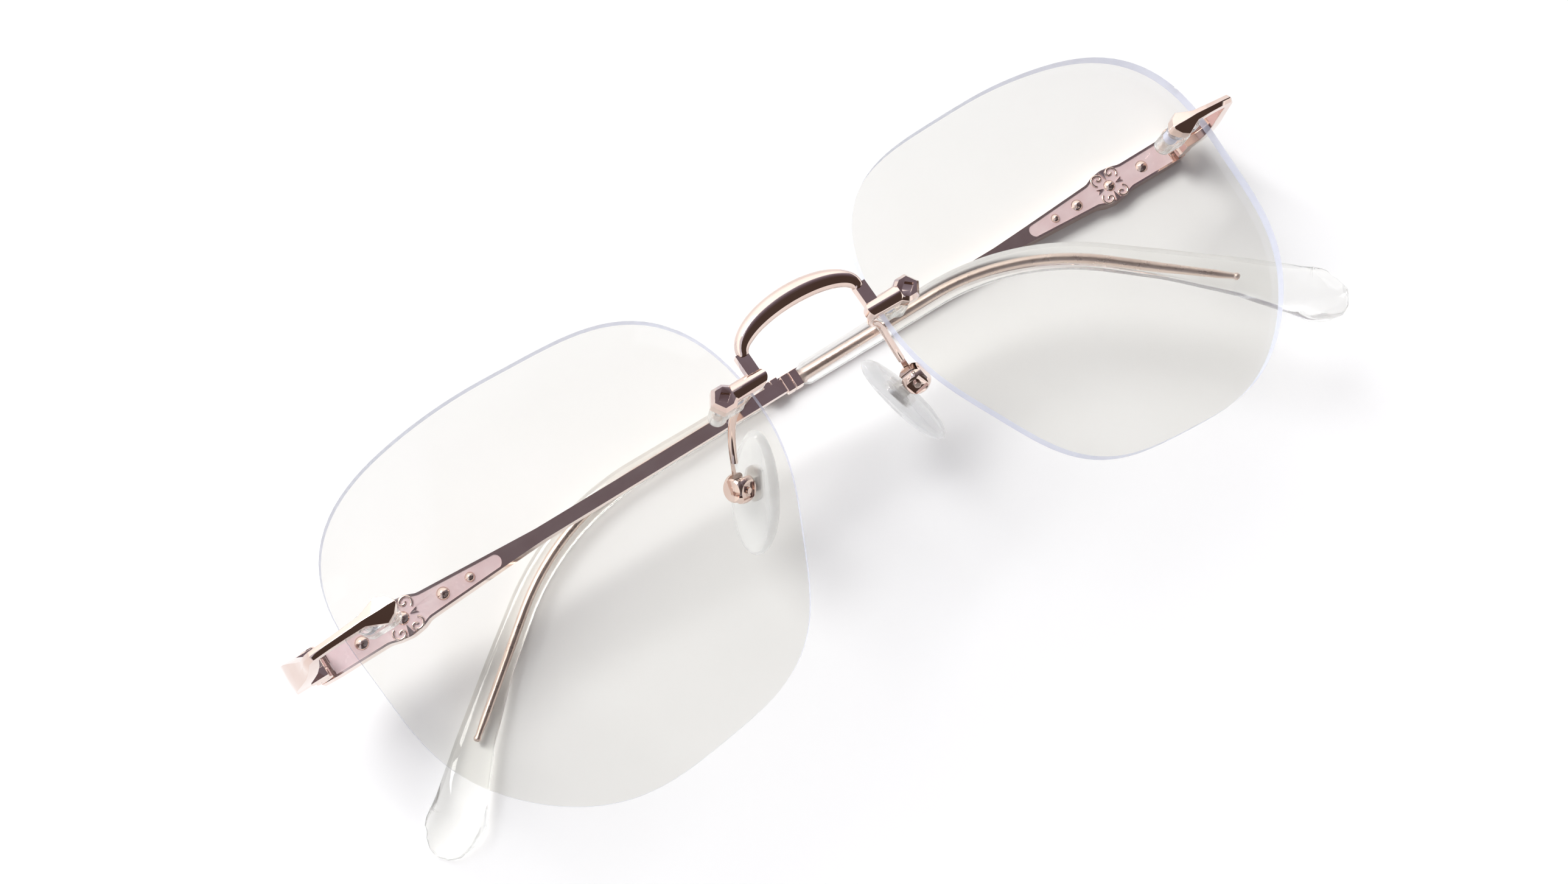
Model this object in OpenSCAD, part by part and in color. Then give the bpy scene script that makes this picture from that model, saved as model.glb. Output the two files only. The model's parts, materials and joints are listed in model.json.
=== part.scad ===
// Rimless eyeglasses, folded and lying on the outer face of the left temple.
// The front is drawn first, in its own frame: X runs across to the wearer's left, Y runs up, and Z runs
// forwards out of the lenses, with Z = 0 at the lens centres. The module at_rest() then lays it down.

/* [Lenses] */
// Distance between the two lens centres
lens_pitch = 73.2; // [70:0.1:76]
// Thickness of a lens
lens_t = 1.45; // [1.2:0.05:1.8]
// Radius of the front surface of a lens
base_r = 333; // [250:1:500]
// Angle at which each lens leans back towards its temple
wrap = 4.1; // [3:0.1:5]

/* [Bridge] */
// Half width of the arch, to its outer edge
arch_half = 9.2; // [8.8:0.1:9.6]
// Height of the top of the arch above the lens centres
arch_top = 15.2; // [14:0.1:16]
// Height of the bridge paddles above the lens centres
paddle_y = 7.3; // [6.8:0.1:7.8]

/* [Nose pads] */
// Length of a nose pad
pad_l = 16.8; // [14:0.2:18]
// Width of a nose pad
pad_w = 7.3; // [6.5:0.1:8]
// Thickness of a nose pad at its middle
pad_t = 2.8; // [2.2:0.1:3]
// Turn of a nose pad about X, Y and Z
pad_turn = [44, 38, 60];

/* [Hinges] */
// Radius of a hinge knuckle
knuckle_r = 1.1; // [1:0.05:1.15]
// Radius of a hinge screw
screw_r = 0.5; // [0.4:0.05:0.55]
// Running clearance round a hinge screw
run_gap = 0.05; // [0.03:0.01:0.08]
// Clearance of a fixed fit
fit_gap = 0.02; // [0.01:0.01:0.03]

/* [Temples] */
// Width of the temple bar at the hinge
root_w = 4; // [3.6:0.1:4.2]
// Width of the narrow part of the temple bar
bar_w = 1.75; // [1.6:0.05:2]
// Distance from the hinge to the start of the ear bend
bend_start = 89.8; // [86:0.2:94]
// Radius of the ear bend
bend_r = 36; // [32:1:42]
// Angle of the ear bend
bend_turn = 39.5; // [34:0.5:44]
// Length of the temple past the ear bend
tail = 32.2; // [30:0.2:34]
// Greatest width of the temple tip
tip_w = 7.7; // [7:0.1:8]
// Turn of the folded left temple out of the lens plane
fold_left = -5; // [-6:0.5:-5]
// Turn of the folded right temple, which lies over the left one
fold_right = 6.5; // [6:0.5:6.5]
// Play in the hinges, as the turn of each folded temple in its own plane
lean = 1.25; // [1.15:0.05:1.3]

/* [Hidden] */
$fn = 48;

gold = "#d9a58c";
pink = "#e6c3c8";
clear = [0.92, 0.95, 0.95, 0.5];

// Lens radius at each sixteenth of a turn, counter-clockwise from the temple side of the left lens
lens_trace = [27.5, 30, 30, 26.5, 25, 26.5, 29.5, 28.5, 26.5, 25, 26, 26.5, 26, 27.5, 28, 28];
lens_x = lens_pitch / 2;

// Pins and holes of the lens mounts
pin_r = 0.55;
hole_r = 0.95;
bridge_pins = [11.2, 13.6];
end_pins = [-1.25, 1.25];
end_x = 60.5;
end_y = 7.45;
sleeve_r = 1.2;
sleeve_drop = 2.3;
washer_t = 1.2;

// The hinge axis runs along Y through this point of the left side
hinge = [68.8, 9.3, -18.8];
arm_in = 1.5;
arm_end = 0.8;
knuckle_half = 1.9;
mid_half = 0.6;
knuckle_gap = 0.06;
root_pad_half = 1.1;
root_pad_t = 0.15;

// Height of the hinge axis over the outer face of the temple bar
pin_h = 3.5;
bar_t = 2.1;
bar_back = -0.7;
enamel_depth = 0.45;
wire_z = 1.3;
bar_end = 67.3;
ferrule_l = 2.3;
ferrule_w = 2.3;
ferrule_h = 1.9;
ferrule_bore = 0.72;
seam = 0.14;
tip_start = bar_end + ferrule_l;
bend_l = bend_r * bend_turn * PI / 180;
bend_end = bend_start + bend_l;
temple_l = bend_end + tail;
wire_end = bend_end + 17.6;

// Middle of the screw that holds the left nose pad, and the way from there to the middle of the pad
pad_pivot = [13.9, -0.2, -14.2];
pad_drop = [0, -1.5, -3.2];

// The rest pose: the front leans by this angle, and its lowest temple face is at Z = 0
rest_tilt = 5;
rest_z = pin_h + hinge.x * sin(rest_tilt) - hinge.z * cos(rest_tilt);
rest_xy = [1.49, 0.6];

// ---------- Shared functions ----------

function unit(v) = v / norm(v);
function flip(list) = [for (i = [len(list) - 1:-1:0]) list[i]];

// Direction of a path at one of its points
function heading(path, i) = unit(path[min(i + 1, len(path) - 1)] - path[max(i - 1, 0)]);

// Outline of a flat strip that follows a path, with a half width at each point
function strip_side(path, half, s) = [for (i = [0:len(path) - 1])
    let (h = heading(path, i)) path[i] + s * half[i] * [-h.y, h.x]];
function strip(path, half) = concat(strip_side(path, half, 1), flip(strip_side(path, half, -1)));

// One ring of a swept solid: an oval of half width a and half height b across a 3-D path
function ring(path, i, a, b, up, sides) = let (h = heading(path, i), u = unit(cross(up, h)), v = cross(h, u))
    [for (k = [0:sides - 1]) path[i] + a * cos(360 * k / sides) * u + b * sin(360 * k / sides) * v];

// Solid skinned over rings of points, which turn counter-clockwise about the way that they follow each other
module loft(rings) {
    sides = len(rings[0]);
    walls = [for (i = [0:len(rings) - 2], k = [0:sides - 1])
        let (n = (k + 1) % sides) [i * sides + k, (i + 1) * sides + k, (i + 1) * sides + n, i * sides + n]];
    first = [for (k = [0:sides - 1]) k];
    last = [for (k = [sides - 1:-1:0]) (len(rings) - 1) * sides + k];
    polyhedron([for (r = rings) each r], concat(walls, [first, last]), convexity = 8);
}

// Solid swept along a 3-D path
module sweep(path, a, b, up = [0, 0, 1], sides = 16) {
    loft([for (i = [0:len(path) - 1]) ring(path, i, a[i], b[i], up, sides)]);
}

// Point on the quadratic curve from a to c that is drawn towards b
function curve(a, b, c, t) = (1 - t) * (1 - t) * a + 2 * t * (1 - t) * b + t * t * c;

// ---------- Frames ----------

// Lays the front down as it rests on the folded temples
module at_rest() {
    translate([rest_xy.x, rest_xy.y, rest_z]) rotate([0, rest_tilt, 0]) children();
}

// Draws a left-hand piece on either side
module on_side(side) {
    at_rest() {
        if (side == "right") mirror([1, 0, 0]) children();
        else children();
    }
}

// Frame on the front surface of the left lens, at a point of its outline plane
module on_lens(x, y) {
    translate([lens_x, 0, 0]) rotate([0, wrap, 0]) translate([0, 0, -base_r])
        rotate([0, asin((x - lens_x) / base_r), 0]) rotate([-asin(y / base_r), 0, 0])
            translate([0, 0, base_r]) children();
}

// Frame of a folded temple: X runs along the bar from the hinge axis, Z from its outer to its inner face
module in_temple(side, play = lean) {
    on_side(side) translate(hinge)
        rotate([0, side == "left" ? fold_left : fold_right, 0])
            rotate([0, 0, side == "left" ? -play : play])
                mirror([1, 0, 0]) translate([0, 0, -pin_h]) children();
}

// Frame of a nose pad, with its screw along X
module in_pad(side) {
    on_side(side) translate(pad_pivot) rotate(pad_turn) children();
}

// ---------- Lenses and their mounts ----------

// Radius of the lens at any angle, from the trace by its sine kernel
function kernel(a, n) = abs(sin(a / 2)) < 0.0001 ? 1 : sin(n * a / 2) / (n * tan(a / 2));
function lens_radius(a) = let (n = len(lens_trace))
    [for (k = [0:n - 1]) lens_trace[k] * kernel(a - 360 * k / n, n)] * [for (k = [0:n - 1]) 1];

module lens_outline(steps = 144) {
    polygon([for (i = [0:steps - 1]) let (a = 360 * i / steps) lens_radius(a) * [cos(a), sin(a)]]);
}

module pin_holes() {
    for (x = bridge_pins) on_lens(x, paddle_y) cylinder(h = 6, r = hole_r, center = true);
    for (x = end_pins) on_lens(end_x, end_y) translate([x, 0, 0]) cylinder(h = 6, r = hole_r, center = true);
}

module lens(side) {
    color([0.9, 0.92, 1, 0.35]) on_side(side) difference() {
        translate([lens_x, 0, 0]) rotate([0, wrap, 0]) intersection() {
            translate([0, 0, -10]) linear_extrude(14) lens_outline();
            difference() {
                translate([0, 0, -base_r]) sphere(r = base_r, $fn = 96);
                translate([0, 0, -base_r]) sphere(r = base_r - lens_t, $fn = 96);
            }
        }
        pin_holes();
    }
}

// Clear double plug: two tubes line the lens holes, a block behind the lens joins them, and a washer may
// lie on the front
module double_sleeve(pins, rear, washer = 0) {
    short = min(rear);
    long = max(rear);
    difference() {
        union() {
            for (x = pins) translate([x, 0, -lens_t - 0.2]) cylinder(h = lens_t + 0.2, r = hole_r - fit_gap);
            for (i = [0, 1]) translate([pins[i], 0, -lens_t - rear[i]]) cylinder(h = rear[i], r = sleeve_r);
            translate([pins[0], -sleeve_r, -lens_t - short]) cube([pins[1] - pins[0], 2 * sleeve_r, short]);
            if (washer > 0) {
                for (x = pins) translate([x, 0, 0]) cylinder(h = washer, r = sleeve_r);
                translate([pins[0], -sleeve_r, 0]) cube([pins[1] - pins[0], 2 * sleeve_r, washer]);
            }
        }
        for (x = pins) translate([x, 0, -lens_t - long - 1])
            cylinder(h = lens_t + long + washer + 2, r = pin_r + fit_gap);
    }
}

module bridge_sleeve(side) {
    mid = (bridge_pins[0] + bridge_pins[1]) / 2;
    color(clear) on_side(side) on_lens(mid, paddle_y)
        double_sleeve([bridge_pins[0] - mid, bridge_pins[1] - mid], [sleeve_drop + 0.2, sleeve_drop + 1.8]);
}

module end_sleeve(side) {
    color(clear) on_side(side) on_lens(end_x, end_y)
        double_sleeve(end_pins, [sleeve_drop, sleeve_drop], washer_t);
}

// ---------- Bridge ----------

paddle_t = 2.1;
paddle_z = 0.87;
paddle_half = 1.1;
paddle_round = 1.25;
post_x = 8.7;
post_w = 1.6;
head_x = 13.5;
head_points = [[-1.6, -1], [-0.7, -1.65], [0.75, -1.65], [1.8, 0], [0.75, 1.65], [-0.7, 1.65], [-1.6, 1]];

// Centre line of the arch, as half an ellipse from post to post
function arch_point(t) = [-(arch_half - 0.75) * cos(t), 10.7 + (arch_top - 12.1) * sin(t), 2.1 + 1.3 * sin(t)];

module arch() {
    steps = 40;
    path = [for (i = [0:steps]) arch_point(180 * i / steps)];
    tall = [for (i = [0:steps]) 0.75 + 0.65 * sin(180 * i / steps)];
    deep = [for (i = [0:steps]) 0.95 + 0.25 * sin(180 * i / steps)];
    sweep(path, tall, deep);
}

// Outline of the paddle's head, drawn in by a factor and set at a height
function head_ring(size, z) = [for (p = head_points) [head_x + size * p.x, size * p.y, z]];

// Paddle on the lens front: a round-topped bar with a six-sided head, which has a sunk diamond
module paddle() {
    translate([0, paddle_y, paddle_z]) {
        intersection() {
            linear_extrude(paddle_t) {
                translate([post_x - 0.1, 0]) circle(r = paddle_half);
                translate([post_x - 0.1, -paddle_half]) square([head_x - post_x - 1, 2 * paddle_half]);
            }
            translate([0, 0, paddle_t - paddle_round]) rotate([0, 90, 0]) cylinder(h = head_x, r = paddle_round);
        }
        difference() {
            loft([head_ring(1, 0), head_ring(1, paddle_t - 0.6), head_ring(0.74, paddle_t)]);
            translate([head_x, 0, paddle_t - 0.4]) linear_extrude(1)
                polygon([[-0.9, 0], [0, -0.72], [0.9, 0], [0, 0.72]]);
        }
    }
}

module post() {
    translate([post_x - post_w / 2, paddle_y, paddle_z + 0.3]) cube([post_w, 10.9 - paddle_y, 1.5]);
}

module bridge() {
    color(gold) at_rest() {
        arch();
        for (m = [0, 1]) mirror([m, 0, 0]) {
            paddle();
            post();
            for (x = bridge_pins) on_lens(x, paddle_y)
                translate([0, 0, -lens_t - sleeve_drop]) cylinder(h = lens_t + sleeve_drop + 0.5, r = pin_r);
        }
    }
}

// ---------- Nose pads ----------

box_w = 3.1;
box_h = 3.4;
box_front = 1.6;
box_back = -1.5;
slot_w = 1.5;
recess_w = 2.1;
recess_t = 0.35;
pad_bolt_r = 0.45;
box_round = 2.1;
slot_top = 1.4;

// The pad arm leaves the paddle nasally of the lens, passes behind it and drops to the pad box
arm_r = 0.5;
arm_path = [[9.2, 7.3, 0.87], [9, 7.3, -3.6], [11.2, 7.1, -6.4], [12.5, 4.6, -10.4], [13.6, 1.1, -13.7]];

// Space for the tab of the pad's core, and the hole of its screw
module pad_slot() {
    translate([-slot_w / 2, -box_h, -box_h]) cube([slot_w, 2 * box_h, box_h + slot_top]);
    rotate([0, 90, 0]) cylinder(h = 2 * box_w, r = pad_bolt_r + fit_gap, center = true);
}

// Rounded box round the screw, with a square recess for its nut
module pad_box() {
    difference() {
        intersection() {
            translate([-box_w / 2, -box_h / 2, box_back]) cube([box_w, box_h, box_front - box_back]);
            sphere(r = box_round, $fn = 64);
        }
        translate([-box_w / 2 - 1, -recess_w / 2, -recess_w / 2]) cube([1 + recess_t, recess_w, recess_w]);
        pad_slot();
    }
}

module pad_arm(side) {
    steps = 6;
    bends = [for (i = [0:2], t = [0:steps - 1])
        curve((arm_path[i] + arm_path[i + 1]) / 2, arm_path[i + 1], (arm_path[i + 1] + arm_path[i + 2]) / 2,
            t / steps)];
    path = concat([arm_path[0]], bends, [arm_path[4]]);
    half = [for (p = path) arm_r];
    color(gold) {
        on_side(side) difference() {
            sweep(path, half, half, up = [1, 0, 0], sides = 12);
            translate(pad_pivot) rotate(pad_turn) pad_slot();
        }
        in_pad(side) pad_box();
    }
}

module pad_screw(side) {
    color(gold) in_pad(side) rotate([0, 90, 0]) difference() {
        union() {
            translate([0, 0, -box_w / 2 - 0.1]) cylinder(h = box_w + 0.1, r = pad_bolt_r);
            translate([0, 0, box_w / 2]) cylinder(h = 0.4, r = 0.9);
        }
        translate([-0.12, -2, box_w / 2 + 0.2]) cube([0.24, 4, 1]);
    }
}

module pad_outline(grow = 0) {
    top_r = pad_w * 0.36 + grow;
    low_r = pad_w / 2 + grow;
    reach = pad_l - pad_w / 2 - pad_w * 0.36;
    hull() {
        translate([0, pad_l / 2 - pad_w * 0.36]) circle(r = top_r);
        translate([0, pad_l / 2 - pad_w * 0.36 - reach]) circle(r = low_r);
    }
}

pad_dome = 18;
core_t = 0.6;
tab_reach = 1.1;

module pad_tab(grow = 0) {
    translate([0, 0, -core_t / 2 - grow]) linear_extrude(core_t + 2 * grow) hull() {
        translate([0, tab_reach]) circle(r = 1.2 + grow);
        translate([0, -tab_reach]) circle(r = 1.4 + grow);
    }
}

module nose_pad(side) {
    color(clear) in_pad(side) translate(pad_drop) difference() {
        intersection() {
            translate([0, 0, -pad_t / 2]) linear_extrude(pad_t) pad_outline();
            translate([0, 0, pad_t / 2 - pad_dome]) sphere(r = pad_dome, $fn = 96);
            translate([0, 0, pad_dome - pad_t / 2 - 0.1]) sphere(r = pad_dome, $fn = 96);
        }
        translate([0, -pad_drop.y, 0]) {
            pad_tab(fit_gap);
            translate([-0.67, -1, 0]) cube([1.34, 2, pad_t]);
        }
    }
}

module pad_core(side) {
    color(gold) in_pad(side) difference() {
        union() {
            translate([0, 0, pad_drop.z]) pad_tab();
            translate([-0.65, -0.98, pad_drop.z]) cube([1.3, 1.96, -pad_drop.z]);
            rotate([0, 90, 0]) cylinder(h = 1.3, r = 0.98, center = true);
        }
        rotate([0, 90, 0]) cylinder(h = 2, r = pad_bolt_r + run_gap, center = true);
    }
}

// ---------- End pieces and hinges ----------

// Cross sections of the end piece, from the tip of its head to the hinge. Each row holds the X and Z of the
// ridge, the lowest and the highest Y, the fall from the ridge to the edges, and the thickness.
end_rows = [
    [57.6, 0.75, 7.2, 7.7, 0.1, 1.7],
    [58.4, 0.7, 6.3, 8.65, 0.4, 1.75],
    [59.5, 0.55, 5.75, 9.2, 0.6, 1.8],
    [60.7, 0.4, 6.3, 8.7, 0.5, 1.8],
    [61.9, 0.2, 6.8, 8.3, 0.4, 1.75],
    [64.2, -0.25, 6.85, 8.15, 0.35, 1.65],
    [66.6, -0.9, 6.9, 8.1, 0.35, 1.5],
    [68.6, -1.6, 6.9, 8.1, 0.3, 1.5],
    [69.4, -2.7, 6.9, 8.15, 0.3, 1.6],
    [69.9, -6, 6.85, 8.5, 0.25, 1.7],
    [70.6, -9, 6.85, 9.2, 0.2, 1.8],
    [71.4, -11.6, 7, 10.1, 0.15, 1.9],
    [72.1, -14, 7.2, 10.8, 0.1, 2],
    [72.4, -16.2, 7.4, 11.2, 0.1, 2.1],
    [72.4, hinge.z + arm_end, 7.5, 11.3, 0.1, 2.1]];

// Five-sided cross section, roofed by two slopes that meet along the ridge
function end_section(i) = let (
    row = end_rows[i],
    last = len(end_rows) - 1,
    h = heading([for (r = end_rows) [r[0], r[1]]], i),
    at = function (y, deep) [row[0] + deep * h.y, y, row[1] - deep * h.x],
    middle = max(end_y, (row[2] + row[3]) / 2))
    [at(row[3], row[4]), at(middle, 0), at(row[2], row[4]), at(row[2], row[5]), at(row[3], row[5])];

module end_piece(side) {
    color(gold) on_side(side) {
        difference() {
            loft([for (i = [0:len(end_rows) - 1]) end_section(i)]);
            on_lens(end_x, end_y) translate([-4, -3, washer_t - 3]) cube([6.5, 6, 3]);
        }
        on_lens(end_x, end_y) for (x = end_pins) translate([x, 0, -lens_t - sleeve_drop + 0.4])
            cylinder(h = lens_t + sleeve_drop + washer_t, r = pin_r);
    }
}

module knuckle(from, to) {
    translate([0, to, 0]) rotate([90, 0, 0]) cylinder(h = to - from, r = knuckle_r);
}

module hinge_front(side) {
    near = mid_half + knuckle_gap;
    color(gold) on_side(side) translate(hinge) difference() {
        for (y = [near, -knuckle_half]) {
            knuckle(y, y + knuckle_half - near);
            translate([-0.75, y, 0]) cube([1.5, knuckle_half - near, 1.1]);
            translate([-0.75, y, arm_end]) cube([0.75 + arm_in, knuckle_half - near, 1.8]);
        }
        knuckle_bore(screw_r + fit_gap);
    }
}

module knuckle_bore(r) {
    rotate([90, 0, 0]) cylinder(h = 3 * knuckle_half, r = r, center = true);
}

module hinge_screw(side) {
    color(gold) on_side(side) translate(hinge) difference() {
        union() {
            translate([0, knuckle_half, 0]) rotate([90, 0, 0]) cylinder(h = 2 * knuckle_half, r = screw_r);
            translate([0, knuckle_half + 0.5, 0]) rotate([90, 0, 0]) cylinder(h = 0.5, r = 0.95);
        }
        translate([-2, knuckle_half + 0.25, -0.12]) cube([4, 1, 0.24]);
    }
}

module hinge_rear(side) {
    color(gold) in_temple(side, 0) difference() {
        union() {
            translate([0, 0, pin_h]) knuckle(-mid_half, mid_half);
            translate([-0.8, -mid_half, bar_t]) cube([1.6, 2 * mid_half, pin_h - bar_t]);
            translate([-0.8, -root_pad_half, bar_t]) cube([2.1, 2 * root_pad_half, root_pad_t]);
        }
        translate([0, 0, pin_h]) knuckle_bore(screw_r + run_gap);
    }
}

// ---------- Temples ----------

// Half width of the bar and height of its two faces, by distance from the hinge axis
bar_half = [[bar_back, root_w / 2 - 0.1], [1.5, root_w / 2], [8.6, root_w / 2 - 0.05], [9.8, 2.3], [11.5, 2.55],
    [13.2, 2.3], [14.4, 1.8], [25.5, 1.15], [31, bar_w / 2], [bar_end, bar_w / 2]];
bar_low = [[bar_back, 0], [30, 0], [45, 0.7], [bar_end, 0.7]];
bar_high = [[bar_back, bar_t], [30, bar_t], [45, 1.9], [bar_end, 1.9]];
studs = [[5.8, 0.95], [17.2, 0.9], [21, 0.7]];
boss_x = 11.5;
boss_rise = 0.85;
enamel_start = 1.4;
enamel_stop = 25.4;
rim = 0.28;

module bar_outline(inset = 0, from = bar_back, to = bar_end) {
    xs = [for (x = [from:0.5:to]) x];
    polygon(strip([for (x = xs) [x, 0]], [for (x = xs) lookup(x, bar_half) - inset]));
}

module stud(r) {
    translate([0, 0, bar_t - 0.25]) rotate_extrude($fn = 48)
        polygon([[0, -0.4], [r, -0.4], [r, 0.1], [r * 0.75, 0.4], [r * 0.35, 0.65], [0, 0.72]]);
}

// A scroll of round wire: a wide arc that curls into a small hook
scroll_r = 0.78;
hook_r = 0.36;
scroll_wire = 0.17;
scroll_arc = 205;

module scroll() {
    rotate_extrude(angle = scroll_arc, $fn = 40) translate([scroll_r, 0]) circle(r = scroll_wire, $fn = 16);
    rotate([0, 0, scroll_arc]) translate([scroll_r - hook_r, 0]) rotate_extrude(angle = 200, $fn = 32)
        translate([hook_r, 0]) circle(r = scroll_wire, $fn = 16);
}

// Cast boss in the middle of the bar: a dome, with a pair of scrolls and a dart at each edge of the bar
module boss() {
    translate([boss_x, 0, bar_t - enamel_depth]) {
        translate([0, 0, boss_rise - 1]) sphere(r = 1, $fn = 48);
        for (sy = [0, 1]) mirror([0, sy, 0]) {
            linear_extrude(boss_rise - 0.25) polygon([[0, 0.95], [0.4, 2.4], [-0.4, 2.4]]);
            for (sx = [0, 1]) mirror([sx, 0, 0]) {
                translate([1.25, 1.45, 0.4]) rotate([0, 0, -60]) scroll();
                linear_extrude(boss_rise - 0.3) polygon([[1.05, 0], [2.1, 0.35], [1.75, 0]]);
            }
        }
    }
}

// Flat area of the enamel on one face, leaving a metal rim
module enamel_area(inset = 0) {
    intersection() {
        bar_outline(rim + inset, 0, 30);
        union() {
            translate([enamel_start + inset, -5]) square([enamel_stop - 1 - enamel_start - inset, 10]);
            translate([enamel_stop - 1, 0]) circle(r = 1 - inset);
        }
    }
}

module temple_bar(side) {
    color(gold) in_temple(side) {
        difference() {
            intersection() {
                translate([0, 0, -1]) linear_extrude(5) bar_outline();
                translate([0, 5, 0]) rotate([90, 0, 0]) linear_extrude(10)
                    polygon(concat(bar_low, flip(bar_high)));
            }
            translate([0, 0, bar_t - enamel_depth]) linear_extrude(2) enamel_area();
            translate([0, 0, -1]) linear_extrude(1 + enamel_depth) enamel_area();
        }
        for (s = studs) translate([s[0], 0, 0]) stud(s[1]);
        boss();
    }
}

module enamel(side) {
    color(pink) in_temple(side) {
        difference() {
            translate([0, 0, bar_t - enamel_depth]) linear_extrude(enamel_depth - 0.1) enamel_area();
            for (s = studs) translate([s[0], 0, 0]) stud(s[1]);
            boss();
        }
        translate([0, 0, 0.05]) linear_extrude(enamel_depth - 0.05) enamel_area();
    }
}

// Square collar with a seam round its middle
module ferrule(side) {
    block_l = (ferrule_l - seam) / 2;
    color(gold) in_temple(side) translate([bar_end, 0, wire_z]) difference() {
        union() {
            for (x = [0, block_l + seam]) translate([x, -ferrule_w / 2, -ferrule_h / 2])
                cube([block_l, ferrule_w, ferrule_h]);
            translate([seam, seam - ferrule_w / 2, seam - ferrule_h / 2])
                cube([ferrule_l - 2 * seam, ferrule_w - 2 * seam, ferrule_h - 2 * seam]);
        }
        rotate([0, 90, 0]) cylinder(h = 3 * ferrule_l, r = ferrule_bore, center = true);
    }
}

// Point of the temple's middle line at a distance from the hinge, with a height and a sideways shift
function spine(s, z, shift = 0) =
    let (a = s < bend_start ? 0 : s < bend_end ? (s - bend_start) / bend_l * bend_turn : bend_turn,
        run = s < bend_start ? s : bend_start, rest = max(0, s - bend_end))
    [run + bend_r * sin(a) + rest * cos(a) - shift * sin(a),
        -bend_r * (1 - cos(a)) - rest * sin(a) - shift * cos(a), z];

wire_half = [[bar_end, 0.7], [tip_start, 0.7], [80, 0.65], [wire_end - 1.1, 0.5], [wire_end - 1, 0.4],
    [wire_end, 0.4]];
wire_stations = concat([bar_end, tip_start, 80], [for (i = [0:12]) bend_start + bend_l * i / 12],
    [wire_end - 1.1, wire_end - 1, wire_end]);

module wire(grow = 0, past = 0) {
    stations = concat(wire_stations, past > 0 ? [wire_end + past] : []);
    half = [for (s = stations) lookup(s, wire_half) + grow];
    sweep([for (s = stations) spine(s, wire_z)], half, half, sides = 12);
}

module core_wire(side) {
    color(gold) in_temple(side) wire();
}

// Half width, thickness and sideways shift of the clear tip, by distance from the hinge
tip_half = [[tip_start, 1.5], [84, 1.65], [bend_end, 1.8], [bend_end + 8, 1.95], [bend_end + 17.5, 2.5],
    [temple_l - 7.4, tip_w / 2 - 0.55], [temple_l - 4.8, tip_w / 2], [temple_l - 3, tip_w / 2 - 0.25],
    [temple_l - 1.6, tip_w / 2 - 0.75], [temple_l - 0.4, 1.9], [temple_l, 0.9]];
tip_thick = [[tip_start, 2.6], [bend_end + 14, 2.7], [temple_l - 6, 3.7], [temple_l - 3, 3.2], [temple_l, 1.2]];
tip_shift = [[bend_start, 0], [bend_end + 8, -0.5], [bend_end + 17.5, -0.1], [temple_l - 7.4, 0.8],
    [temple_l - 4.8, 1.15], [temple_l - 1.6, 0.4], [temple_l, -0.4]];
tip_stations = concat([tip_start, tip_start + 0.3], [80], [for (i = [0:14]) bend_start + bend_l * i / 14],
    [for (i = [1:7]) bend_end + 3 * i], [for (back = [9, 7.4, 6, 4.8, 4, 3, 2.3, 1.6, 1, 0.4, 0]) temple_l - back]);

module temple_tip(side) {
    color(clear) in_temple(side) difference() {
        sweep([for (s = tip_stations) spine(s, lookup(s, tip_thick) / 2, lookup(s, tip_shift))],
            [for (s = tip_stations) lookup(s, tip_half)],
            [for (s = tip_stations) lookup(s, tip_thick) / 2], sides = 24);
        wire(fit_gap, fit_gap);
    }
}

// ---------- Nodes ----------

bridge();
lens("right");  // lens_right
lens("left");  // lens_left
bridge_sleeve("right");  // bridge_sleeve_right
bridge_sleeve("left");  // bridge_sleeve_left
pad_arm("right");  // pad_arm_right
pad_arm("left");  // pad_arm_left
pad_screw("right");  // pad_screw_right
pad_screw("left");  // pad_screw_left
pad_core("right");  // pad_core_right
pad_core("left");  // pad_core_left
nose_pad("right");  // nose_pad_right
nose_pad("left");  // nose_pad_left
end_piece("right");  // end_piece_right
end_piece("left");  // end_piece_left
end_sleeve("right");  // end_sleeve_right
end_sleeve("left");  // end_sleeve_left
hinge_front("right");  // hinge_front_right
hinge_front("left");  // hinge_front_left
hinge_screw("right");  // hinge_screw_right
hinge_screw("left");  // hinge_screw_left
hinge_rear("right");  // hinge_rear_right
hinge_rear("left");  // hinge_rear_left
temple_bar("right");  // temple_bar_right
temple_bar("left");  // temple_bar_left
enamel("right");  // enamel_right
enamel("left");  // enamel_left
ferrule("right");  // ferrule_right
ferrule("left");  // ferrule_left
core_wire("right");  // core_wire_right
core_wire("left");  // core_wire_left
temple_tip("right");  // temple_tip_right
temple_tip("left");  // temple_tip_left
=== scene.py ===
"""Rimless eyeglasses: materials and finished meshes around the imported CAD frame.

Lengths inside the part frames are millimetres. Each part frame is a matrix that turns them into the
row frame's metres. "left" and "right" are the wearer's.
"""
import json
import math

import bmesh
import bpy
from mathutils import Matrix, Vector

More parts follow.
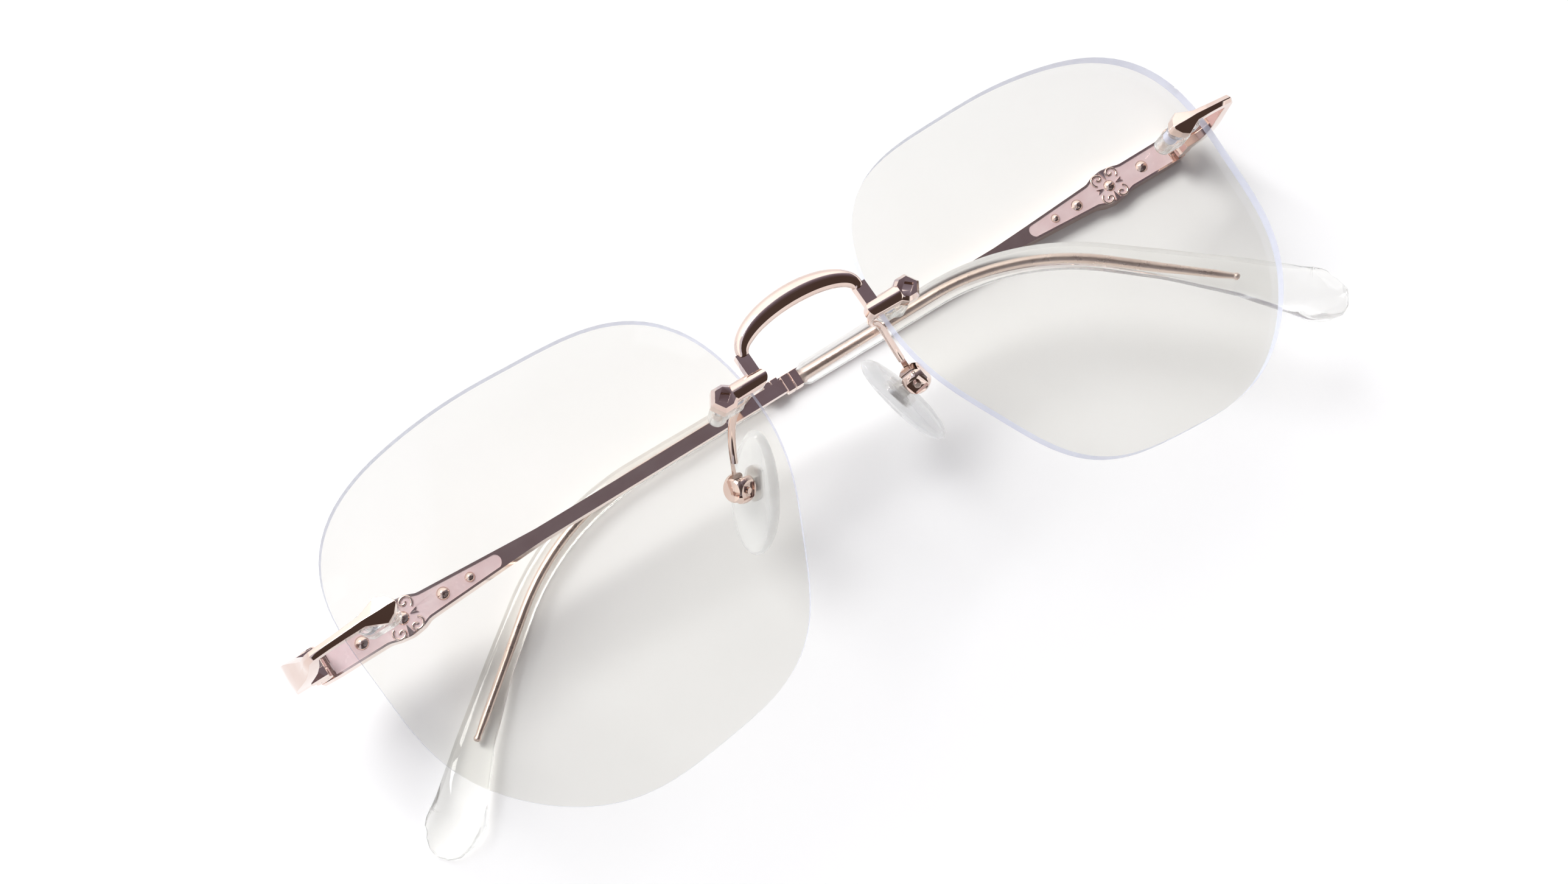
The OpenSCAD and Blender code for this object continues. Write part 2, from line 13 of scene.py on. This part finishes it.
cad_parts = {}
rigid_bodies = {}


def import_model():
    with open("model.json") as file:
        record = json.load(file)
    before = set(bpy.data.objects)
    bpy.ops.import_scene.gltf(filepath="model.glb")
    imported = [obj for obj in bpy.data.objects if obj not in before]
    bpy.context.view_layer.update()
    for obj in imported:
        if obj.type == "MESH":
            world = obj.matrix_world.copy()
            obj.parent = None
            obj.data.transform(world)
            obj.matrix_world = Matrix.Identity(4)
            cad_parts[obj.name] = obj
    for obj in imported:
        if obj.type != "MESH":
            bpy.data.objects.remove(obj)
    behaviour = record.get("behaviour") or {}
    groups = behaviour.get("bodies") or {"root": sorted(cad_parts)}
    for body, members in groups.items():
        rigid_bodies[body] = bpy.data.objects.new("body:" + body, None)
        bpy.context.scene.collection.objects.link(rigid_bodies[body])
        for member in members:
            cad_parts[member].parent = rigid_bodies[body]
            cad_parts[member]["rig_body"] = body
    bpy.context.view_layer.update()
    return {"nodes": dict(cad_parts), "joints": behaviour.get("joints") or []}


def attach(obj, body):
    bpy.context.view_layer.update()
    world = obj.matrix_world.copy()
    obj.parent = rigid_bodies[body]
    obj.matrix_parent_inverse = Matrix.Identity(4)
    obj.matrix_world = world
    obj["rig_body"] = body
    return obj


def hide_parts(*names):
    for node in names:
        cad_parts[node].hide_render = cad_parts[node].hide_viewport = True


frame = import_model()

MM = 0.001
SIDES = ("left", "right")
ROSE = "polished_rose_gold"

# ---------------------------------------------------------------- part frames

HINGE = Vector((68.8, 9.3, -18.8))
PIN_HEIGHT = 3.5
FOLD = {"left": -5.0, "right": 6.5}
LEAN = {"left": -1.25, "right": 1.25}
PAD_PIVOT = Vector((13.9, -0.2, -14.2))
PAD_TURN = (44.0, 38.0, 60.0)
PAD_DROP = Vector((0, -1.5, -3.2))
WRAP = 4.1


def joint_place(name):
    return Vector(next(j for j in frame["joints"] if j["name"] == name)["pos_m"])


def turn(angle, axis):
    return Matrix.Rotation(math.radians(angle), 4, axis)


def front_frame():
    """Frame of the front, found from the two hinge screws."""
    left, right = joint_place("temple_left_fold"), joint_place("temple_right_fold")
    across = (left - right).normalized()
    up = Vector((0, 1, 0))
    out = across.cross(up)
    middle = (left + right) / 2
    origin = middle - up * HINGE.y * MM - out * HINGE.z * MM
    axes = Matrix((across, up, out)).transposed().to_4x4()
    return Matrix.Translation(origin) @ axes @ Matrix.Scale(MM, 4)


FRONT = front_frame()
MIRROR = Matrix.Scale(-1, 4, (1, 0, 0))


def on_side(side):
    return FRONT if side == "left" else FRONT @ MIRROR


def temple_frame(side):
    """X runs along the folded bar from the hinge, Z from its outer to its inner face."""
    return (on_side(side) @ Matrix.Translation(HINGE) @ turn(FOLD[side], "Y") @ turn(LEAN[side], "Z")
            @ MIRROR @ Matrix.Translation((0, 0, -PIN_HEIGHT)))


def pad_frame(side):
    """Origin in the middle of the pad screw, which runs along X."""
    return (on_side(side) @ Matrix.Translation(PAD_PIVOT) @ turn(PAD_TURN[2], "Z")
            @ turn(PAD_TURN[1], "Y") @ turn(PAD_TURN[0], "X"))


# ---------------------------------------------------------------- node helpers

def new_material(name):
    mat = bpy.data.materials.new(name)
    mat.use_nodes = True
    tree = mat.node_tree
    return mat, tree, tree.nodes["Principled BSDF"]


def add(tree, kind, **values):
    node = tree.nodes.new(kind)
    for key, value in values.items():
        if key in node.inputs:
            node.inputs[key].default_value = value
        else:
            setattr(node, key, value)
    return node


def coords(tree):
    return add(tree, "ShaderNodeTexCoord").outputs["Object"]


def noise(tree, scale, detail=4.0, rough=0.5):
    tex = add(tree, "ShaderNodeTexNoise", Scale=scale, Detail=detail, Roughness=rough)
    tree.links.new(coords(tree), tex.inputs["Vector"])
    return tex.outputs["Fac"]


def ramp(tree, fac, stops):
    node = add(tree, "ShaderNodeValToRGB")
    band = node.color_ramp
    while len(band.elements) < len(stops):
        band.elements.new(0.5)
    for element, (place, colour) in zip(band.elements, stops):
        element.position = place
        element.color = (*colour, 1.0)
    tree.links.new(fac, node.inputs["Fac"])
    return node.outputs["Color"]


def spread(tree, fac, low, high):
    node = add(tree, "ShaderNodeMapRange")
    node.inputs["From Min"].default_value = 0.3
    node.inputs["From Max"].default_value = 0.7
    node.inputs["To Min"].default_value = low
    node.inputs["To Max"].default_value = high
    tree.links.new(fac, node.inputs["Value"])
    return node.outputs["Result"]


def bump(tree, shader, height, strength, distance):
    node = add(tree, "ShaderNodeBump", Strength=strength, Distance=distance)
    tree.links.new(height, node.inputs["Height"])
    tree.links.new(node.outputs["Normal"], shader.inputs["Normal"])


# ---------------------------------------------------------------- materials

def rose_gold(name, light, dark, smooth, worn):
    """Plated metal with a faint casting ripple, a polishing haze and a slightly deeper tone in patches."""
    mat, tree, shader = new_material(name)
    shader.inputs["Metallic"].default_value = 1.0
    tree.links.new(ramp(tree, noise(tree, 260.0), [(0.3, dark), (0.7, light)]), shader.inputs["Base Color"])
    tree.links.new(spread(tree, noise(tree, 900.0, 6.0, 0.6), smooth, worn), shader.inputs["Roughness"])
    bump(tree, shader, noise(tree, 420.0, 2.0), 0.12, 0.00006)
    return mat


def pink_enamel():
    """Cold enamel: milky pink with a pearly drift, under a clear gloss."""
    mat, tree, shader = new_material("pink_enamel")
    pinks = [(0.25, (0.66, 0.49, 0.50)), (0.55, (0.71, 0.55, 0.56)), (0.8, (0.76, 0.62, 0.62))]
    tree.links.new(ramp(tree, noise(tree, 330.0, 5.0), pinks), shader.inputs["Base Color"])
    tree.links.new(spread(tree, noise(tree, 1500.0), 0.18, 0.3), shader.inputs["Roughness"])
    shader.inputs["Coat Weight"].default_value = 0.6
    shader.inputs["Coat Roughness"].default_value = 0.06
    shader.inputs["Subsurface Weight"].default_value = 0.15
    shader.inputs["Subsurface Radius"].default_value = (0.0006, 0.0003, 0.0003)
    bump(tree, shader, noise(tree, 700.0, 2.0), 0.1, 0.00005)
    return mat


def let_lamps_through(tree, shader_socket, tint):
    """Clear solids pass lamp light on, tinted, instead of blocking it."""
    clear = add(tree, "ShaderNodeBsdfTransparent")
    clear.inputs["Color"].default_value = (*tint, 1.0)
    path = add(tree, "ShaderNodeLightPath")
    mix = add(tree, "ShaderNodeMixShader")
    tree.links.new(path.outputs["Is Shadow Ray"], mix.inputs["Fac"])
    tree.links.new(shader_socket, mix.inputs[1])
    tree.links.new(clear.outputs["BSDF"], mix.inputs[2])
    tree.links.new(mix.outputs["Shader"], tree.nodes["Material Output"].inputs["Surface"])


def clear_plastic(name, tint, ior, smooth, worn, ripple, shade, calm, milk):
    """Clear solid with faint flow lines on its skin.

    calm is the share of the light that isn't bent, milk is the share that is scattered, and shade is the
    tint of the lamp light that passes through.
    """
    mat, tree, shader = new_material(name)
    shader.inputs["Transmission Weight"].default_value = 1.0
    shader.inputs["IOR"].default_value = ior
    low = tuple(c * 0.985 for c in tint)
    tree.links.new(ramp(tree, noise(tree, 180.0), [(0.3, low), (0.7, tint)]), shader.inputs["Base Color"])
    tree.links.new(spread(tree, noise(tree, 800.0, 5.0), smooth, worn), shader.inputs["Roughness"])
    bump(tree, shader, noise(tree, 350.0, 3.0), ripple, 0.0001)
    straight = add(tree, "ShaderNodeBsdfTransparent")
    straight.inputs["Color"].default_value = (*tint, 1.0)
    mix = add(tree, "ShaderNodeMixShader", Fac=calm)
    tree.links.new(shader.outputs["BSDF"], mix.inputs[1])
    tree.links.new(straight.outputs["BSDF"], mix.inputs[2])
    haze = add(tree, "ShaderNodeBsdfDiffuse")
    whites = [(0.35, (0.90, 0.91, 0.92)), (0.65, (0.99, 0.99, 0.99))]
    tree.links.new(ramp(tree, noise(tree, 210.0, 3.0), whites), haze.inputs["Color"])
    cloudy = add(tree, "ShaderNodeMixShader", Fac=milk)
    tree.links.new(mix.outputs["Shader"], cloudy.inputs[1])
    tree.links.new(haze.outputs["BSDF"], cloudy.inputs[2])
    let_lamps_through(tree, cloudy.outputs["Shader"], shade)
    return mat


# The cut rim is where the normal's share along the lens axis is below this limit
RIM_LIMIT = 0.6
# The most that the coating mirrors, and the share of the rim that is see-through
MOST_GLOSS = 0.22
RIM_CLEAR = 0.45
LENS_SHADE = (0.985, 0.985, 0.985)


def lens_material(side):
    """Thin clear lens with a weak warm tint, a coated gloss and a lavender cut rim."""
    mat, tree, shader = new_material("lens_" + side)
    axis = (FRONT.to_3x3() @ Vector((0, 0, 1))).normalized()
    lean = turn(WRAP if side == "left" else -WRAP, "Y").to_3x3() @ axis
    facing = add(tree, "ShaderNodeVectorMath", operation="DOT_PRODUCT")
    facing.inputs[1].default_value = lean
    tree.links.new(add(tree, "ShaderNodeTexCoord").outputs["Normal"], facing.inputs[0])
    size = add(tree, "ShaderNodeMath", operation="ABSOLUTE")
    tree.links.new(facing.outputs["Value"], size.inputs[0])
    rim = add(tree, "ShaderNodeMath", operation="LESS_THAN")
    rim.inputs[1].default_value = RIM_LIMIT
    tree.links.new(size.outputs["Value"], rim.inputs[0])

    pane = add(tree, "ShaderNodeBsdfTransparent")
    tint = ramp(tree, noise(tree, 60.0, 3.0), [(0.3, (0.942, 0.939, 0.921)), (0.7, (0.952, 0.949, 0.933))])
    tree.links.new(tint, pane.inputs["Color"])
    gloss = add(tree, "ShaderNodeBsdfGlossy")
    gloss.inputs["Color"].default_value = (0.80, 0.86, 1.0, 1.0)
    tree.links.new(spread(tree, noise(tree, 500.0), 0.0, 0.03), gloss.inputs["Roughness"])
    fresnel = add(tree, "ShaderNodeFresnel", IOR=1.35)
    share = add(tree, "ShaderNodeMath", operation="MINIMUM")
    share.inputs[1].default_value = MOST_GLOSS
    tree.links.new(fresnel.outputs["Fac"], share.inputs[0])
    face = add(tree, "ShaderNodeMixShader")
    tree.links.new(share.outputs["Value"], face.inputs["Fac"])
    tree.links.new(pane.outputs["BSDF"], face.inputs[1])
    tree.links.new(gloss.outputs["BSDF"], face.inputs[2])

    lavender = [(0.3, (0.66, 0.69, 0.84)), (0.7, (0.75, 0.78, 0.91))]
    tree.links.new(ramp(tree, noise(tree, 240.0), lavender), shader.inputs["Base Color"])
    shader.inputs["Roughness"].default_value = 0.35
    see = add(tree, "ShaderNodeBsdfTransparent")
    see.inputs["Color"].default_value = (0.88, 0.89, 0.96, 1.0)
    edge = add(tree, "ShaderNodeMixShader", Fac=RIM_CLEAR)
    tree.links.new(shader.outputs["BSDF"], edge.inputs[1])
    tree.links.new(see.outputs["BSDF"], edge.inputs[2])

    whole = add(tree, "ShaderNodeMixShader")
    tree.links.new(rim.outputs["Value"], whole.inputs["Fac"])
    tree.links.new(face.outputs["Shader"], whole.inputs[1])
    tree.links.new(edge.outputs["Shader"], whole.inputs[2])
    let_lamps_through(tree, whole.outputs["Shader"], LENS_SHADE)
    return mat


GOLD = rose_gold("rose_gold", (0.82, 0.67, 0.60), (0.75, 0.58, 0.51), 0.03, 0.09)
WIRE = rose_gold("wire_gold", (0.88, 0.73, 0.65), (0.78, 0.62, 0.54), 0.24, 0.36)
STEEL = rose_gold("pad_metal", (0.80, 0.78, 0.75), (0.68, 0.66, 0.63), 0.15, 0.25)
ENAMEL = pink_enamel()
ACETATE = clear_plastic("clear_acetate", tint=(0.985, 0.985, 0.972), ior=1.46, smooth=0.0, worn=0.04,
                        ripple=0.10, shade=(0.70, 0.695, 0.69), calm=0.2, milk=0.02)
SILICONE = clear_plastic("clear_silicone", tint=(0.975, 0.980, 0.978), ior=1.41, smooth=0.02, worn=0.08,
                         ripple=0.12, shade=(0.90, 0.90, 0.90), calm=0.5, milk=0.24)
SLEEVE = clear_plastic("clear_sleeve", tint=(0.960, 0.968, 0.955), ior=1.48, smooth=0.01, worn=0.06,
                       ripple=0.12, shade=(0.82, 0.82, 0.82), calm=0.3, milk=0.03)


# ---------------------------------------------------------------- mesh helpers

CREASE = 32.0


def smooth_faces(obj, crease):
    """Smooth shading, apart from edges that turn by more than the crease angle in degrees."""
    obj.data.shade_smooth()
    obj.data.set_sharp_from_angle(angle=math.radians(crease))


def make(name, verts, faces, matrix, material, body, slot, stands_for, crease):
    """A piece from millimetre points in a part frame."""
    mesh = bpy.data.meshes.new(name)
    mesh.from_pydata([matrix @ Vector(v) for v in verts], [], faces)
    tidy = bmesh.new()
    tidy.from_mesh(mesh)
    bmesh.ops.recalc_face_normals(tidy, faces=tidy.faces)
    tidy.to_mesh(mesh)
    tidy.free()
    place(bpy.data.objects.new(name, mesh), material, body, slot, stands_for, crease)


def place(obj, material, body, slot, stands_for, crease):
    """Gives a piece its material and body, and hides the CAD node that it stands for."""
    bpy.context.scene.collection.objects.link(obj)
    obj.data.materials.clear()
    obj.data.materials.append(material)
    smooth_faces(obj, crease)
    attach(obj, body)
    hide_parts(stands_for)


def bevel(obj, width):
    """Rounds the sharp edges of a piece by a width in millimetres."""
    mod = obj.modifiers.new("rounding", "BEVEL")
    mod.width = width * MM
    mod.segments = 3
    mod.limit_method = "ANGLE"
    mod.angle_limit = math.radians(30.0)
    mod.harden_normals = True
    mod.miter_outer = "MITER_ARC"


# Points closer than this many metres are welded, and faces within this angle in degrees are joined
WELD = 0.5e-6
FLAT_ANGLE = 0.6


def refine(node, material, slot, width, crease=CREASE):
    """The CAD node's own shape with welded faces and, where a width is given, small rounded edges."""
    obj = frame["nodes"][node]
    mesh = obj.data.copy()
    work = bmesh.new()
    work.from_mesh(mesh)
    bmesh.ops.remove_doubles(work, verts=work.verts, dist=WELD)
    bmesh.ops.dissolve_limit(work, angle_limit=math.radians(FLAT_ANGLE), verts=work.verts, edges=work.edges)
    work.to_mesh(mesh)
    work.free()
    piece = bpy.data.objects.new(node + "_finished", mesh)
    place(piece, material, obj["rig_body"], slot, node, crease)
    if width:
        bevel(piece, width)


def ring_faces(rings, n):
    """Faces of a closed skin over a number of rings of n points each, with a cap at both ends."""
    faces = [(i * n + k, i * n + (k + 1) % n, (i + 1) * n + (k + 1) % n, (i + 1) * n + k)
             for i in range(rings - 1) for k in range(n)]
    return faces + [tuple(range(n)), tuple(range((rings - 1) * n, rings * n))]


def sweep(path, sections):
    """Points and faces of a solid swept along a level path. A section is a ring of (across, up) points."""
    up = Vector((0, 0, 1))
    verts = []
    for i, (centre, section) in enumerate(zip(path, sections)):
        ahead = path[min(i + 1, len(path) - 1)] - path[max(i - 1, 0)]
        side = up.cross(ahead).normalized()
        top = ahead.cross(side).normalized()
        verts += [centre + side * u + top * v for u, v in section]
    return verts, ring_faces(len(path), len(sections[0]))


def oval(a, b, n, power=2.0):
    """Ring of a section: an ellipse at power 2, a rounded box above it and a lozenge below it."""
    def part(value):
        return math.copysign(abs(value) ** (2 / power), value)
    return [(a * part(math.cos(2 * math.pi * k / n)), b * part(math.sin(2 * math.pi * k / n)))
            for k in range(n)]


def table(rows, x):
    """Value at x between the rows (place, value), on straight lines."""
    if x <= rows[0][0]:
        return rows[0][1]
    for (x0, y0), (x1, y1) in zip(rows, rows[1:]):
        if x <= x1:
            return y0 + (y1 - y0) * (x - x0) / (x1 - x0)
    return rows[-1][1]


def steps(a, b, n):
    """Places from a to b in n equal steps, with both ends."""
    return [a + (b - a) * i / n for i in range(n + 1)]


# ---------------------------------------------------------------- lenses

for side in SIDES:
    refine("lens_" + side, lens_material(side), "lens_plastic", 0, crease=40.0)

# ---------------------------------------------------------------- metal that keeps its CAD shape

# Width of the rounding on the edges of each kind of part
EDGES = {"hinge_front": 0.10, "hinge_rear": 0.10, "hinge_screw": 0.06, "end_piece": 0.16,
         "pad_screw": 0.06, "temple_bar": 0.07, "ferrule": 0.08}
for part, width in EDGES.items():
    for side in SIDES:
        refine(part + "_" + side, GOLD, ROSE, width)
for side in SIDES:
    refine("pad_arm_" + side, GOLD, ROSE, 0.12)
    refine("pad_core_" + side, STEEL, "pad_core_metal", 0.06)
    refine("enamel_" + side, ENAMEL, "pink_enamel", 0.05)
    refine("bridge_sleeve_" + side, SLEEVE, "clear_sleeve", 0.2)
    refine("end_sleeve_" + side, SLEEVE, "clear_sleeve", 0.2)
refine("bridge", GOLD, ROSE, 0.12)

# ---------------------------------------------------------------- nose pads

PAD_L = 16.8
PAD_W = 7.3
PAD_T = 2.8
PAD_TAPER = 0.10
# Rings over half a pad: share of the outline, and share of half the thickness
PAD_RINGS = [(0.25, 1.0), (0.5, 0.97), (0.72, 0.86), (0.88, 0.66), (0.96, 0.42), (1.0, 0.12)]


def pad_outline(scale, z, n=56):
    """Rounded drop, a little narrower at its top."""
    ring = []
    for k in range(n):
        a = 2 * math.pi * k / n
        narrow = 1 - PAD_TAPER * math.sin(a)
        ring.append((PAD_W / 2 * scale * narrow * math.cos(a), PAD_L / 2 * scale * math.sin(a), z))
    return ring


for side in SIDES:
    rings = [(s, PAD_T / 2 * h) for s, h in PAD_RINGS]
    rings += [(s, -z) for s, z in reversed(rings)]
    outlines = [pad_outline(s, z) for s, z in rings]
    verts = [point for outline in outlines for point in outline]
    faces = ring_faces(len(outlines), len(outlines[0]))
    make("nose_pad_clear_" + side, verts, faces, pad_frame(side) @ Matrix.Translation(PAD_DROP), SILICONE,
         "pad_" + side, "clear_silicone", "nose_pad_" + side, 60.0)

# ---------------------------------------------------------------- temple tips and their core wires

# Distances along the temple from its hinge, and the heights over its outer face
BAR_END = 67.3
TIP_START = 69.6
BEND_START = 89.8
BEND_R = 36.0
BEND_TURN = math.radians(39.5)
BEND_END = BEND_START + BEND_R * BEND_TURN
TAIL = 32.2
TEMPLE_END = BEND_END + TAIL
WIRE_TAIL = 17.6
WIRE_END = BEND_END + WIRE_TAIL
WIRE_Z = 1.3


def spine(s, z, shift=0.0):
    """Point of the temple's middle line, bent down towards the ear, with a height and a sideways shift."""
    a = min(max((s - BEND_START) / BEND_R, 0.0), BEND_TURN)
    run, rest = min(s, BEND_START), max(0.0, s - BEND_END)
    x = run + BEND_R * math.sin(a) + rest * math.cos(a) - shift * math.sin(a)
    y = -BEND_R * (1 - math.cos(a)) - rest * math.sin(a) - shift * math.cos(a)
    return Vector((x, y, z))


# Half width, thickness, sideways shift and squareness of the clear tip, and radius of the wire in it
TIP_HALF = [(TIP_START, 1.5), (84, 1.65), (BEND_END, 1.8), (BEND_END + 8, 1.95), (BEND_END + 17.5, 2.5),
            (TEMPLE_END - 7.4, 3.3), (TEMPLE_END - 4.8, 3.85), (TEMPLE_END - 3, 3.6), (TEMPLE_END - 1.6, 3.1),
            (TEMPLE_END - 0.4, 1.9), (TEMPLE_END, 0.9)]
TIP_THICK = [(TIP_START, 2.6), (BEND_END + 14, 2.7), (TEMPLE_END - 6, 3.7), (TEMPLE_END - 4.4, 3.5),
             (TEMPLE_END, 1.0)]
TIP_SHIFT = [(BEND_START, 0), (BEND_END + 8, -0.5), (BEND_END + 17.5, -0.1), (TEMPLE_END - 7.4, 0.8),
             (TEMPLE_END - 4.8, 1.15), (TEMPLE_END - 1.6, 0.4), (TEMPLE_END, -0.4)]
TIP_POWER = [(TEMPLE_END - 10, 3.2), (TEMPLE_END - 6, 1.5), (TEMPLE_END, 1.5)]
WIRE_HALF = [(BAR_END, 0.7), (TIP_START, 0.7), (80, 0.65), (WIRE_END - 1.1, 0.5), (WIRE_END - 0.95, 0.38),
             (WIRE_END - 0.75, 0.38), (WIRE_END - 0.55, 0.48), (WIRE_END - 0.3, 0.48), (WIRE_END - 0.1, 0.36),
             (WIRE_END, 0.15)]
# Share of the full section at the front end of the tip, which is chamfered
MOUTH = 0.66

for side in SIDES:
    stations = ([TIP_START, TIP_START + 0.05, TIP_START + 0.9] + steps(72, BEND_START - 2, 8)
                + steps(BEND_START, BEND_END, 20) + steps(BEND_END + 2, TEMPLE_END - 9, 8)
                + steps(TEMPLE_END - 8, TEMPLE_END, 16))
    rings = []
    for s in stations:
        short = MOUTH if s < TIP_START + 0.1 else 1.0
        half_w, half_t = table(TIP_HALF, s) * short, table(TIP_THICK, s) / 2 * short
        rings.append(oval(half_w, half_t, 64, table(TIP_POWER, s)))
    path = [spine(s, table(TIP_THICK, s) / 2, table(TIP_SHIFT, s)) for s in stations]
    make("temple_tip_clear_" + side, *sweep(path, rings), temple_frame(side), ACETATE, "temple_" + side,
         "clear_acetate", "temple_tip_" + side, 17.0)

    stations = ([BAR_END, TIP_START] + steps(80, BEND_START - 2, 3) + steps(BEND_START, BEND_END, 20)
                + [WIRE_END - 3] + [row[0] for row in WIRE_HALF[4:]])
    rings = [oval(table(WIRE_HALF, s), table(WIRE_HALF, s), 20) for s in stations]
    path = [spine(s, WIRE_Z) for s in stations]
    make("core_wire_fine_" + side, *sweep(path, rings), temple_frame(side), WIRE, "temple_" + side,
         "core_wire_metal", "core_wire_" + side, 50.0)

# ---------------------------------------------------------------- floor, light and camera

FLOOR = 3.0
floor_mesh = bpy.data.meshes.new("floor")
floor_corners = [(-FLOOR, -FLOOR, 0), (FLOOR, -FLOOR, 0), (FLOOR, FLOOR, 0), (-FLOOR, FLOOR, 0)]
floor_mesh.from_pydata(floor_corners, [], [(0, 1, 2, 3)])
floor = bpy.data.objects.new("floor", floor_mesh)
bpy.context.scene.collection.objects.link(floor)
floor_mat, floor_tree, floor_shader = new_material("floor")
pales = [(0.3, (0.86, 0.86, 0.855)), (0.7, (0.87, 0.87, 0.865))]
floor_tree.links.new(ramp(floor_tree, noise(floor_tree, 30.0), pales), floor_shader.inputs["Base Color"])
floor_shader.inputs["Roughness"].default_value = 0.9
floor_shader.inputs["Specular IOR Level"].default_value = 0.0
floor_mesh.materials.append(floor_mat)

world = bpy.data.worlds.new("studio")
bpy.context.scene.world = world
world.use_nodes = True
sky = world.node_tree
way = add(sky, "ShaderNodeTexCoord").outputs["Generated"]
height = add(sky, "ShaderNodeSeparateXYZ")
sky.links.new(way, height.inputs["Vector"])
tent = ramp(sky, height.outputs["Z"], [(0.0, (0.80, 0.80, 0.80)), (0.35, (1.0, 1.0, 1.0))])


def along(axis):
    """Place of a sky direction along a level axis, from 0 to 1."""
    dot = add(sky, "ShaderNodeVectorMath", operation="DOT_PRODUCT")
    dot.inputs[1].default_value = Vector(axis).normalized()
    sky.links.new(way, dot.inputs[0])
    place_node = add(sky, "ShaderNodeMath", operation="MULTIPLY_ADD")
    place_node.inputs[1].default_value = 0.5
    place_node.inputs[2].default_value = 0.5
    sky.links.new(dot.outputs["Value"], place_node.inputs[0])
    return place_node.outputs["Value"]


# The tent is white on its +Y side and grey on its -X side. The rest is a dark gap over a white horizon,
# which polished faces mirror as dark bands
WHITE = (1.0, 1.0, 1.0)
BLACK = (0, 0, 0)
far_side = ramp(sky, along((0, -1, 0)), [(0.27, WHITE), (0.32, (0.20, 0.19, 0.24)),
                                         (0.45, (0.09, 0.07, 0.085)), (0.60, (0.05, 0.035, 0.03))])
left_side = ramp(sky, along((0.87, -0.50, 0)), [(0.12, WHITE), (0.20, (0.50, 0.51, 0.57)),
                                                (0.395, (0.44, 0.46, 0.54)), (0.415, BLACK)])
horizon = ramp(sky, height.outputs["Z"], [(0.04, WHITE), (0.10, BLACK)])


def brighter(first, second):
    """The lighter of two sky colours."""
    node = add(sky, "ShaderNodeVectorMath", operation="MAXIMUM")
    sky.links.new(first, node.inputs[0])
    sky.links.new(second, node.inputs[1])
    return node.outputs["Vector"]


dome = add(sky, "ShaderNodeVectorMath", operation="MULTIPLY")
sky.links.new(tent, dome.inputs[0])
sky.links.new(brighter(brighter(far_side, left_side), horizon), dome.inputs[1])
sky.links.new(dome.outputs["Vector"], sky.nodes["Background"].inputs["Color"])
sky.nodes["Background"].inputs["Strength"].default_value = 1.55


def softbox(name, place_at, target, size, watts):
    """A square lamp that faces a target."""
    light = bpy.data.lights.new(name, "AREA")
    light.shape = "SQUARE"
    light.size = size
    light.energy = watts
    obj = bpy.data.objects.new(name, light)
    obj.location = place_at
    obj.rotation_euler = (Vector(target) - Vector(place_at)).to_track_quat("-Z", "Y").to_euler()
    bpy.context.scene.collection.objects.link(obj)


softbox("key", place_at=(-1.0, 3.1, 3.8), target=(0, 0, 0), size=2.2, watts=205.0)

camera_data = bpy.data.cameras.new("camera")
camera_data.sensor_width = 36.0
camera_data.lens = 39.13
camera = bpy.data.objects.new("camera", camera_data)
EYE = FRONT @ Vector((-64.49, -31.41, 192.61))
LOOK = (FRONT.to_3x3() @ Vector((0.2703, 0.1527, -0.9506))).normalized()
UP = (FRONT.to_3x3() @ Vector((0.5085, 0.8157, 0.2757))).normalized()
right = LOOK.cross(UP).normalized()
camera_axes = Matrix((right, right.cross(LOOK), -LOOK)).transposed().to_4x4()
camera.matrix_world = Matrix.Translation(EYE) @ camera_axes
camera_data.clip_start = 0.005
camera_data.clip_end = 20.0
bpy.context.scene.collection.objects.link(camera)
bpy.context.scene.camera = camera
bpy.context.scene.view_settings.view_transform = "Standard"
